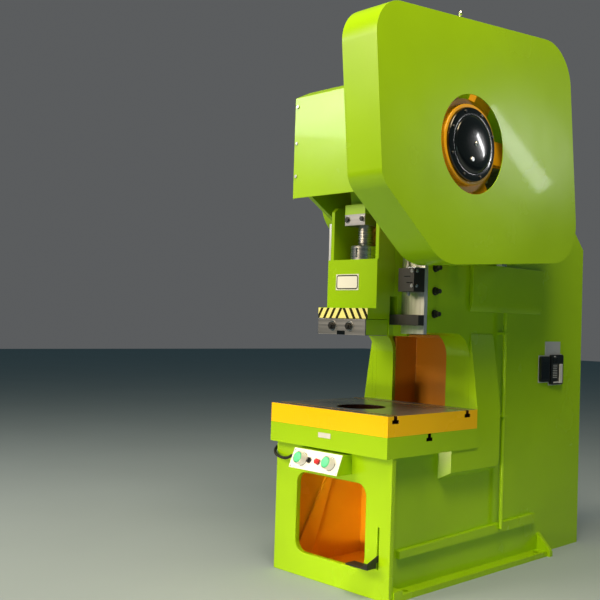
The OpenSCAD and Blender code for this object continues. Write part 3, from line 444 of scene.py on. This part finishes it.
def merged(node):
    """A copy of a CAD node's mesh as a bmesh, its triangles merged into whole faces."""
    bm = bmesh.new()
    bm.from_mesh(NODES[node].data)
    bmesh.ops.remove_doubles(bm, verts=bm.verts, dist=0.00001)
    bmesh.ops.dissolve_limit(bm, angle_limit=math.radians(0.4), verts=bm.verts, edges=bm.edges)
    return bm


def ease(bm, width, segments):
    """Rounds every edge at which two faces turn by more than 30 degrees."""
    sharp = [e for e in bm.edges if e.is_manifold and e.calc_face_angle(0) > math.radians(30)]
    bmesh.ops.bevel(bm, geom=sharp, offset=width, segments=segments, affect="EDGES", profile=0.5,
                    material=-1, clamp_overlap=True)


def block(bm, low, high, width, segments=2, turn=Matrix.Identity(4)):
    """A box from its low to its high corner, placed by turn, with its edges eased by width."""
    low, high = Vector(low), Vector(high)
    size = Matrix.Diagonal((*(high - low), 1))
    made = bmesh.ops.create_cube(bm, size=1, matrix=turn @ Matrix.Translation((low + high) / 2) @ size)
    edges = list(dict.fromkeys(e for v in made["verts"] for e in v.link_edges))
    bmesh.ops.bevel(bm, geom=edges, offset=width, segments=segments, affect="EDGES", profile=0.5,
                    material=-1)


def dress(node, material, width, body="frame", segments=2):
    """A piece that stands for a CAD node: its merged shape with eased edges and its finish."""
    bm = merged(node)
    ease(bm, width, segments)
    obj = settle("skin_" + node, bm, material, body)
    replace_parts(obj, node)
    return obj


def hex_head(bm, centre, axis, radius, height, sides=6):
    """A bolt head standing on centre along axis, with a chamfered top."""
    turn = Vector((0, 0, 1)).rotation_difference(Vector(axis)).to_matrix().to_4x4()
    place = Matrix.Translation(centre) @ turn @ Matrix.Translation((0, 0, height / 2))
    made = bmesh.ops.create_cone(bm, cap_ends=True, segments=sides, radius1=radius, radius2=radius,
                                 depth=height, matrix=place)
    up = Vector(axis).normalized()
    top = dict.fromkeys(e for v in made["verts"] for e in v.link_edges
                        if all((w.co - Vector(centre)).dot(up) > height * 0.6 for w in e.verts))
    bmesh.ops.bevel(bm, geom=list(top), offset=min(radius, height) * 0.16, segments=1,
                    affect="EDGES", profile=0.5, material=-1)


def turned(bm, points, centre, axis="X", steps=96):
    """Spins an outline of (radius, along) points about an axis through centre into a closed body."""
    along = {"X": Vector((1, 0, 0)), "Y": Vector((0, 1, 0)), "Z": Vector((0, 0, 1))}[axis]
    out = {"X": Vector((0, 0, 1)), "Y": Vector((0, 0, 1)), "Z": Vector((1, 0, 0))}[axis]
    verts = [bm.verts.new(Vector(centre) + out * r + along * a) for r, a in points]
    edges = [bm.edges.new(pair) for pair in zip(verts, verts[1:])]
    bmesh.ops.spin(bm, geom=verts + edges, cent=centre, axis=along, angle=2 * math.pi, steps=steps,
                   use_merge=True)
    bmesh.ops.remove_doubles(bm, verts=bm.verts, dist=0.000001)
    bmesh.ops.recalc_face_normals(bm, faces=bm.faces)


class PRESS_OT_frame_plates(bpy.types.Operator):
    """Enamels the welded frame and eases its flame-cut edges"""
    bl_idname = "press.frame_plates"
    bl_label = "Frame plates"

    def execute(self, context):
        s = context.scene.press_sizes
        for node in ("side_plate_right", "side_plate_left"):
            dress(node, "Lime enamel, orange inside", s.plate_edge)
        dress("front_panel", "Lime enamel, orange back", s.plate_edge)
        # The bed's T-slot is darkened inside by painted shade
        dress("bed_slab", "Lime enamel, slot in painted shade", s.plate_edge)
        for node in ("throat_web", "cheek_right", "cheek_left", "rear_casing",
                     "head_casing", "gib_housings", "side_pocket", "foot_rails"):
            dress(node, "Lime enamel", s.plate_edge)
        for node in ("bottom_plate", "base_web", "head_web"):
            dress(node, "Orange satin paint", s.plate_edge)
        # The recess is darkened by painted shade in its orange
        dress("throat_recess", "Orange satin paint in painted shade", s.plate_edge)
        return {"FINISHED"}


class PRESS_OT_bolster(bpy.types.Operator):
    """Paints the bolster yellow, leaves its milled top bare and finishes the bed's blank plate"""
    bl_idname = "press.bolster"
    bl_label = "Bolster"

    def execute(self, context):
        edge = context.scene.press_sizes.small_edge * 1.5
        dress("bolster", "Yellow bolster paint", edge)
        dress("bed_plate", "Light grey plastic", 0.0005)
        return {"FINISHED"}


class PRESS_OT_covers(bpy.types.Operator):
    """Enamels the folded covers"""
    bl_idname = "press.covers"
    bl_label = "Covers and guards"

    def execute(self, context):
        for node in ("gear_guard", "crank_cover", "belt_guard"):
            dress(node, "Lime enamel", 0.0015)
        dress("brake_band", "Lime enamel", context.scene.press_sizes.small_edge)
        dress("cover_screws", "Ground steel", 0.001)
        # Lifting knob and lock screws along the guard's upper edge, and the catch under it
        bm = bmesh.new()
        for y, tall in ((-0.049, 0.052), (-0.090, 0.016), (-0.006, 0.018), (0.053, 0.016), (0.442, 0.018)):
            # The upper edge rises by 0.1045 for each metre back from its front end
            rise = (0.697 + y) * 0.1045 + 2.7455
            if tall > 0.03:
                turned(bm, [(0.0001, -0.002), (0.012, -0.002), (0.012, 0.006), (0.005, 0.009),
                            (0.005, 0.030), (0.009, 0.034), (0.012, 0.042), (0.009, 0.050),
                            (0.0001, 0.053)],
                       (0.650, y, rise), "Z", 24)
            else:
                hex_head(bm, (0.650, y, rise - 0.002), (0, 0, 1), 0.013, tall)
        block(bm, (0.622, 0.330, 1.655), (0.655, 0.374, 1.668), 0.002)
        settle("guard_knobs", bm, "Bright steel", "frame")
        return {"FINISHED"}


class PRESS_OT_fittings(bpy.types.Operator):
    """Finishes the fittings on the frame's sides"""
    bl_idname = "press.fittings"
    bl_label = "Side fittings"

    def execute(self, context):
        s = context.scene.press_sizes
        dress("drain_pipe", "Lime enamel", s.small_edge)
        dress("side_switches", "Switch case plastic", 0.003, segments=3)
        dress("breaker_lever", "Light grey plastic", 0.002, "lever")
        # Breaker row behind its window, louvres under it, and the cases' pale base flanges
        bm = bmesh.new()
        for y0, y1, z0, z1 in ((1.113, 1.2185, 1.017, 1.180), (1.2205, 1.362, 0.999, 1.188)):
            block(bm, (0.3652, y0, z0), (0.3672, y1, z1), 0.0008, 1)
        for i in range(8):
            z = 1.046 + i * 0.0105
            block(bm, (0.3846, 1.243, z), (0.3862, 1.288, z + 0.003), 0.0006, 1)
        block(bm, (0.3840, 1.250, 1.0135), (0.3880, 1.342, 1.0215), 0.0012)
        block(bm, (0.3840, 1.252, 1.170), (0.3868, 1.270, 1.177), 0.001)
        settle("switch_trim", bm, "Light grey plastic", "frame")
        bm = bmesh.new()
        block(bm, (0.3835, 1.238, 1.130), (0.3875, 1.294, 1.166), 0.002)
        for i in range(3):
            block(bm, (0.3868, 1.242 + i * 0.017, 1.134), (0.3895, 1.255 + i * 0.017, 1.162), 0.0012)
        block(bm, (0.3815, 1.128, 1.036), (0.3845, 1.204, 1.162), 0.0018)
        settle("switch_window", bm, "Gloss black paint", "frame")
        dress("gib_bolts", "Satin black paint", 0.0015)
        dress("knockout_brackets", "Worn black paint", 0.002)
        dress("knockout_stops", "Ground steel", 0.001)
        dress("gib_strips", "Ground steel, upright, painted sheen", 0.0008)
        dress("bearing_housings", "Grey iron", 0.002)
        bm = bmesh.new()
        for middle, ring in ((0.0, 0.116), (BACK_SHAFT_Y, 0.091)):
            for side in (-1, 1):
                for i in range(6):
                    a = math.pi * (i + 0.5) / 3
                    at = (side * BEARING_FACE, middle + ring * math.sin(a), CRANK.z + ring * math.cos(a))
                    hex_head(bm, at, (side, 0, 0), 0.010, 0.008)
        for z in (1.6151, 1.5396):
            hex_head(bm, (0.352, -0.0145, z), (0, -1, 0), 0.010, 0.005, 24)
            hex_head(bm, (0.3645, 0.006, z), (1, 0, 0), 0.009, 0.004, 24)
        block(bm, (0.318, -0.012, 1.6295), (0.374, 0.064, 1.6350), 0.0012)
        settle("housing_bolts", bm, "Bright steel", "frame")
        bm = bmesh.new()
        for z, x in ((1.5876, 0.318), (1.5556, 0.334)):
            block(bm, (x - 0.020, -0.0156, z - 0.0022), (x + 0.022, -0.0146, z + 0.0022), 0.0004, 1)
        settle("bracket_slits", bm, "Gloss black paint", "frame")
        return {"FINISHED"}


class PRESS_OT_ram(bpy.types.Operator):
    """Finishes the slide, its clamp block, screw, rod and knock-out bar"""
    bl_idname = "press.ram"
    bl_label = "Ram"

    def execute(self, context):
        dress("slide", "Ram enamel and stripes", 0.0025, "ram")
        dress("slide_plate", "Framed blank plate", 0.0006, "ram")
        dress("clamp_block", "Clamp block steel", 0.003, "ram")
        dress("clamp_bolts", "Satin black paint", 0.0015, "ram")
        # The saw cut that lets the block close on the shank, and washers under its two bolts
        bm = bmesh.new()
        block(bm, (-0.1772, -0.1656, 1.2835), (-0.1760, -0.0030, 1.2875), 0.0003, 1)
        block(bm, (-0.030, -0.1656, 1.2812), (0.030, -0.1646, 1.3012), 0.0003, 1)
        settle("clamp_cut", bm, "Gloss black paint", "ram")
        bm = bmesh.new()
        for x in (-0.064, 0.064):
            turned(bm, [(0.013, 0.0), (0.027, 0.0), (0.027, -0.0035), (0.013, -0.0035)],
                   (x, -0.1648, 1.326), "Y", 32)
        settle("clamp_washers", bm, "Bright steel", "ram")
        bm = bmesh.new()
        for x in (-0.055, 0.055):
            turned(bm, [(0.009, 0.0), (0.019, 0.0), (0.019, -0.003), (0.009, -0.003)],
                   (x, -0.0878, 1.890), "Y", 32)
        settle("rod_washers", bm, "Bright steel", "rod")
        # Spanner nut of the ball seat: eight slots in its rim and a chamfered crown
        bm = bmesh.new()
        turned(bm, [(0.0001, 1.640), (0.055, 1.640), (0.055, 1.6755), (0.0785, 1.6755),
                    (0.080, 1.677), (0.080, 1.690), (0.080, 1.738), (0.080, 1.7485),
                    (0.077, 1.7525), (0.050, 1.7525), (0.046, 1.749), (0.0001, 1.749)],
               (0, 0, 0), "Z", 96)
        for i in range(8):
            a = i * math.pi / 4 + 0.2
            way = Vector((math.cos(a), math.sin(a)))
            slot = [f for f in bm.faces if 1.691 < f.calc_center_median().z < 1.737
                    and f.calc_center_median().xy.length > 0.0795
                    and f.calc_center_median().xy.normalized().dot(way) > 0.992]
            bmesh.ops.inset_region(bm, faces=slot, thickness=0.0006, use_even_offset=True)
            bmesh.ops.translate(bm, verts=list(dict.fromkeys(v for f in slot for v in f.verts)),
                                vec=(-way.x * 0.007, -way.y * 0.007, 0))
        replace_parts(settle("ball_nut_turned", bm, "Turned steel", "ram", 30), "ball_nut")
        # Adjusting screw: 8 mm pitch, drawn as rings
        bm = bmesh.new()
        ball = [(0.05 * math.cos(math.radians(a)), 1.610 + 0.05 * math.sin(math.radians(a)))
                for a in range(-88, 54, 8)]
        ridge = [(r, 1.7640 + i * 0.008 + h) for i in range(34)
                 for r, h in ((0.0402, 0.0), (0.0438, 0.003), (0.0438, 0.005), (0.0402, 0.0075))]
        turned(bm, [(0.0001, 1.560), *ball, (0.030, 1.652), (0.030, 1.761), (0.0402, 1.762), *ridge,
                    (0.0402, 2.040), (0.0001, 2.040)], (0, 0, 0), "Z", 64)
        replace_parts(settle("screw_turned", bm, "Turned steel", "rod", 30), "adjusting_screw")
        dress("con_rod", "Rod steel and enamel", 0.004, "rod")
        dress("rod_bolts", "Satin black paint", 0.0012, "rod")
        dress("knockout_bar", "Worn black paint", 0.002, "knockout")
        return {"FINISHED"}


class PRESS_OT_drive(bpy.types.Operator):
    """Finishes the crankshaft, gear, pinion, flywheel and the clutch's bolted cover"""
    bl_idname = "press.drive"
    bl_label = "Drive"

    def execute(self, context):
        for node in ("crankshaft", "back_shaft", "pinion"):
            paint(NODES[node], "Ground steel")
        paint(NODES["drive_gear"], "Painted gear iron")
        dress("brake_drum", "Grey iron", 0.002, "crank")
        dress("flywheel", "Grey iron", 0.003, "backshaft")
        dress("motor_pulley", "Grey iron", 0.002, "motor_rotor")
        dress("drive_belts", "Black rubber", 0.001)
        dress("motor", "Lime enamel", 0.003)
        bm = bmesh.new()
        fins = 36
        for i in range(fins):
            a = 2 * math.pi * i / fins
            # No fins where the feet and the terminal box stand
            if -0.55 <= math.cos(a) <= 0.85:
                turn = Matrix.Translation(MOTOR) @ Matrix.Rotation(-a, 4, "X")
                block(bm, (-0.230, -0.002, 0.1275), (0.020, 0.002, 0.1375), 0.0012, 1, turn)
        for x in (0.030, 0.0805):
            turned(bm, [(0.118, x), (0.1335, x), (0.1345, x + 0.002), (0.1345, x + 0.006),
                        (0.118, x + 0.008)], MOTOR, "X", 48)
        settle("motor_fins", bm, "Lime enamel", "frame")
        bm = bmesh.new()
        hub = Vector((GEAR_FACE, 0, CRANK.z))
        turned(bm, [(0.0001, 0.0), (0.178, 0.0), (0.178, 0.0145), (0.1765, 0.0180),
                    (0.1725, 0.0202), (0.1470, 0.0222), (0.1440, 0.0212), (0.1400, 0.0215),
                    (0.1345, 0.0262), (0.1318, 0.0296), (0.1250, 0.0330), (0.1100, 0.0372),
                    (0.0880, 0.0402), (0.0600, 0.0420), (0.0250, 0.0428), (0.0001, 0.0430)],
               hub, "X", 128)
        cover = settle("clutch_cover_turned", bm, "Gloss black paint", "gear", 40)
        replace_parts(cover, "clutch_cover")
        bm = bmesh.new()
        turned(bm, [(0.1785, -0.001), (0.1960, -0.001), (0.1960, 0.0035), (0.1940, 0.0060),
                    (0.1870, 0.0072), (0.1800, 0.0060), (0.1785, 0.0035)], hub, "X", 128)
        settle("boss_ring", bm, "Orange satin paint", "gear")
        bm = bmesh.new()
        count = context.scene.press_sizes.hub_bolts
        for i in range(count):
            a = 2 * math.pi * (i + 0.5) / count
            at = hub + Vector((0.0205, 0.162 * math.sin(a), 0.162 * math.cos(a)))
            hex_head(bm, at, (1, 0, 0), 0.0075, 0.0065)
        settle("hub_bolts", bm, "Satin black paint", "gear")
        bm = bmesh.new()
        turned(bm, [(0.0001, 0.040), (0.013, 0.040), (0.013, 0.0465), (0.009, 0.0505), (0.0001, 0.0520)],
               hub, "X", 32)
        hex_head(bm, hub + Vector((0.0395, -0.027, -0.078)), (1, 0, 0), 0.012, 0.008)
        settle("hub_plugs", bm, "Bright steel", "gear")
        return {"FINISHED"}


class PRESS_OT_controls(bpy.types.Operator):
    """Finishes the two-hand control box, its buttons, cable and the pedal"""
    bl_idname = "press.controls"
    bl_label = "Controls"

    def execute(self, context):
        dress("control_box", "Lime enamel", 0.0015)
        dress("control_panel", "White panel enamel", 0.001)
        dress("button_shrouds", "Shroud plastic", 0.0012, segments=3)
        for side in ("left", "right"):
            dress("palm_button_" + side, "Mint plastic", 0.0035, "palm_" + side, 4)
        dress("estop_button", "Red plastic", 0.0025, "estop", 4)
        dress("selector_knob", "Black plastic", 0.001, "selector")
        # Flanges of the four units, the selector's pointer line and the panel's corner screws
        lean = Matrix.Rotation(math.radians(90) - PANEL_LEAN, 4, "X")

        def seat(x, up=0.0, out=0.0):
            return Matrix.Translation((x, PANEL_Y, PANEL_Z)) @ lean @ Matrix.Translation((0, up, out))

        bm = bmesh.new()
        for x, r in ((PALM_XS[0], 0.037), (PALM_XS[1], 0.037), (KNOB_X, 0.018), (STOP_X, 0.018)):
            bmesh.ops.create_cone(bm, cap_ends=True, segments=64, radius1=r, radius2=r - 0.002,
                                  depth=0.003, matrix=seat(x, 0, 0.0052))
        for x in (-0.196, 0.146):
            for up in (-0.043, 0.043):
                bmesh.ops.create_cone(bm, cap_ends=True, segments=20, radius1=0.005, radius2=0.0038,
                                      depth=0.002, matrix=seat(x, up, 0.0048))
        settle("unit_flanges", bm, "Bright steel", "frame")
        bm = bmesh.new()
        block(bm, (-0.0009, -0.0005, 0.0216), (0.0009, 0.0125, 0.0228), 0.0002, 1, seat(KNOB_X))
        settle("selector_line", bm, "White panel enamel", "selector")
        # The lead runs from the box's side, sags under the bed and enters the frame's left side
        path = ((-0.2035, -0.262, 0.640), (-0.232, -0.262, 0.639), (-0.275, -0.256, 0.622),
                (-0.319, -0.240, 0.611), (-0.376, -0.236, 0.612), (-0.424, -0.226, 0.627),
                (-0.451, -0.196, 0.650), (-0.455, -0.160, 0.664), (-0.437, -0.128, 0.671),
                (-0.405, -0.113, 0.672), (-0.364, -0.110, 0.672))
        curve = bpy.data.curves.new("lead", "CURVE")
        curve.dimensions = "3D"
        spline = curve.splines.new("BEZIER")
        spline.bezier_points.add(len(path) - 1)
        for point, at in zip(spline.bezier_points, path):
            point.co = at
            point.handle_left_type = point.handle_right_type = "AUTO"
        spline.resolution_u = 6
        curve.bevel_depth = 0.0078
        curve.bevel_resolution = 5
        made = bpy.data.objects.new("lead", curve)
        context.scene.collection.objects.link(made)
        context.view_layer.update()
        mesh = bpy.data.meshes.new_from_object(made.evaluated_get(context.evaluated_depsgraph_get()))
        bpy.data.objects.remove(made)
        bm = bmesh.new()
        bm.from_mesh(mesh)
        lead = settle("control_lead", bm, "Black rubber", "frame", 60, False)
        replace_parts(lead, "control_cable")
        bm = bmesh.new()
        turned(bm, [(0.0085, -0.006), (0.014, -0.006), (0.015, 0.0), (0.015, 0.008), (0.0125, 0.011),
                    (0.0105, 0.022), (0.0085, 0.024)][::-1], (-0.205, -0.262, 0.640), "X", 32)
        bmesh.ops.scale(bm, vec=(-1, 1, 1), space=Matrix.Translation((0.205, 0, 0)), verts=bm.verts)
        bmesh.ops.recalc_face_normals(bm, faces=bm.faces)
        settle("lead_gland", bm, "Black plastic", "frame")
        dress("pedal", "Worn black paint", 0.002, "pedal_body")
        dress("pedal_shaft", "Satin black paint", 0.002)
        return {"FINISHED"}


class PRESS_OT_stage(bpy.types.Operator):
    """Sets up the floor, the soft lights and the camera"""
    bl_idname = "press.stage"
    bl_label = "Stage"

    def execute(self, context):
        scene = context.scene
        bm = bmesh.new()
        bmesh.ops.create_grid(bm, x_segments=1, y_segments=1, size=scene.press_sizes.floor)
        mesh = bpy.data.meshes.new("floor")
        bm.to_mesh(mesh)
        bm.free()
        floor = bpy.data.objects.new("floor", mesh)
        scene.collection.objects.link(floor)
        paint(floor, "Studio floor")
        world = bpy.data.worlds.new("Studio")
        world.use_nodes = True
        tree = world.node_tree
        back = tree.nodes["Background"]
        back.inputs["Color"].default_value = (*linear("C4ECEC"), 1)
        back.inputs["Strength"].default_value = 0.085
        # Only the camera sees the grey backdrop; all else gets the weaker, cooler light of the room
        seen = put(tree, "ShaderNodeBackground", {"Color": linear("D9DDE0"), "Strength": 0.15})
        which = put(tree, "ShaderNodeMixShader", {
            0: put(tree, "ShaderNodeLightPath").outputs["Is Camera Ray"],
            1: back.outputs["Background"], 2: seen.outputs["Background"]})
        tree.links.new(which.outputs["Shader"], tree.nodes["World Output"].inputs["Surface"])
        scene.world = world
        scene.view_settings.view_transform = "Standard"
        warm, plain, cool = linear("FFE9BE"), linear("FFFFFF"), linear("C8F2E6")
        for name, place, aim, size, power, tint, spread, roll in (
                ("Key", (-2.4, -6.0, 4.6), (0, 0, 1.3), (3.0, 3.0), 420, warm, 180, 0),
                ("Window", (-5.4, -4.9, 4.3), (-0.2, -0.2, 2.4), (1.6, 1.0), 70, plain, 180, 0),
                ("Guard lamp", (2.3, -1.6, 6.0), (0.7, 0.2, 2.2), (2.5, 2.5), 350, warm, 180, 0),
                ("Low fill", (4.6, -3.4, 0.9), (0.2, 0.0, 0.3), (2.5, 1.2), 7, cool, 180, 0),
                ("Mouth lamp", (0.9, -3.6, 0.45), (-0.15, 0.1, 0.22), (0.7, 0.3), 5, warm, 40, 0),
                ("Strip", (4.162, 5.160, 3.430), (0.712, 0.449, 2.252), (0.20, 1.15), 15, plain, 180, 38)):
            data = bpy.data.lights.new(name, "AREA")
            data.shape = "RECTANGLE"
            data.size, data.size_y = size
            data.energy = power
            data.color = tint
            data.spread = math.radians(spread)
            lamp = bpy.data.objects.new(name, data)
            scene.collection.objects.link(lamp)
            lamp.location = place
            turn = (Vector(aim) - Vector(place)).to_track_quat("-Z", "Y")
            turn = turn @ Matrix.Rotation(math.radians(roll), 3, "Z").to_quaternion()
            lamp.rotation_euler = turn.to_euler()
        az, pitch, roll = math.radians(42.837), math.radians(1.543), math.radians(-1.627)
        ahead = Vector((-math.sin(az) * math.cos(pitch), math.cos(az) * math.cos(pitch),
                        math.sin(pitch)))
        right = Vector((math.cos(az), math.sin(az), 0))
        down = ahead.cross(right)
        side = math.cos(roll) * right + math.sin(roll) * down
        drop = -math.sin(roll) * right + math.cos(roll) * down
        data = bpy.data.cameras.new("Camera")
        data.sensor_width = 36
        data.lens = 53.403
        data.shift_x = -1 / 6
        data.clip_end = 100
        camera = bpy.data.objects.new("Camera", data)
        scene.collection.objects.link(camera)
        turn = Matrix((side, -drop, -ahead)).transposed()
        camera.matrix_world = Matrix.Translation((3.3660, -3.3507, 1.3443)) @ turn.to_4x4()
        scene.camera = camera
        return {"FINISHED"}


class PRESS_PT_sidebar(bpy.types.Panel):
    """Lists the press's settings and pieces"""
    bl_idname = "PRESS_PT_sidebar"
    bl_label = "Stamping press"
    bl_space_type = "VIEW_3D"
    bl_region_type = "UI"
    bl_category = "Press"

    def draw(self, context):
        for group in (context.scene.press_sizes, context.scene.press_colours):
            for name in group.__annotations__:
                self.layout.prop(group, name)
        for step in STEPS:
            self.layout.operator(step.bl_idname)


STEPS = (PRESS_OT_stage, PRESS_OT_frame_plates, PRESS_OT_bolster, PRESS_OT_covers, PRESS_OT_fittings,
         PRESS_OT_ram, PRESS_OT_drive, PRESS_OT_controls)
CLASSES = (PressColours, PressSizes, *STEPS, PRESS_PT_sidebar)


def register():
    for cls in CLASSES:
        bpy.utils.register_class(cls)
    bpy.types.Scene.press_colours = PointerProperty(type=PressColours)
    bpy.types.Scene.press_sizes = PointerProperty(type=PressSizes)


def unregister():
    del bpy.types.Scene.press_colours
    del bpy.types.Scene.press_sizes
    for cls in reversed(CLASSES):
        bpy.utils.unregister_class(cls)


def main():
    register()
    for step in STEPS:
        getattr(bpy.ops.press, step.bl_idname.split(".")[1])()


if __name__ == "__main__":
    main()
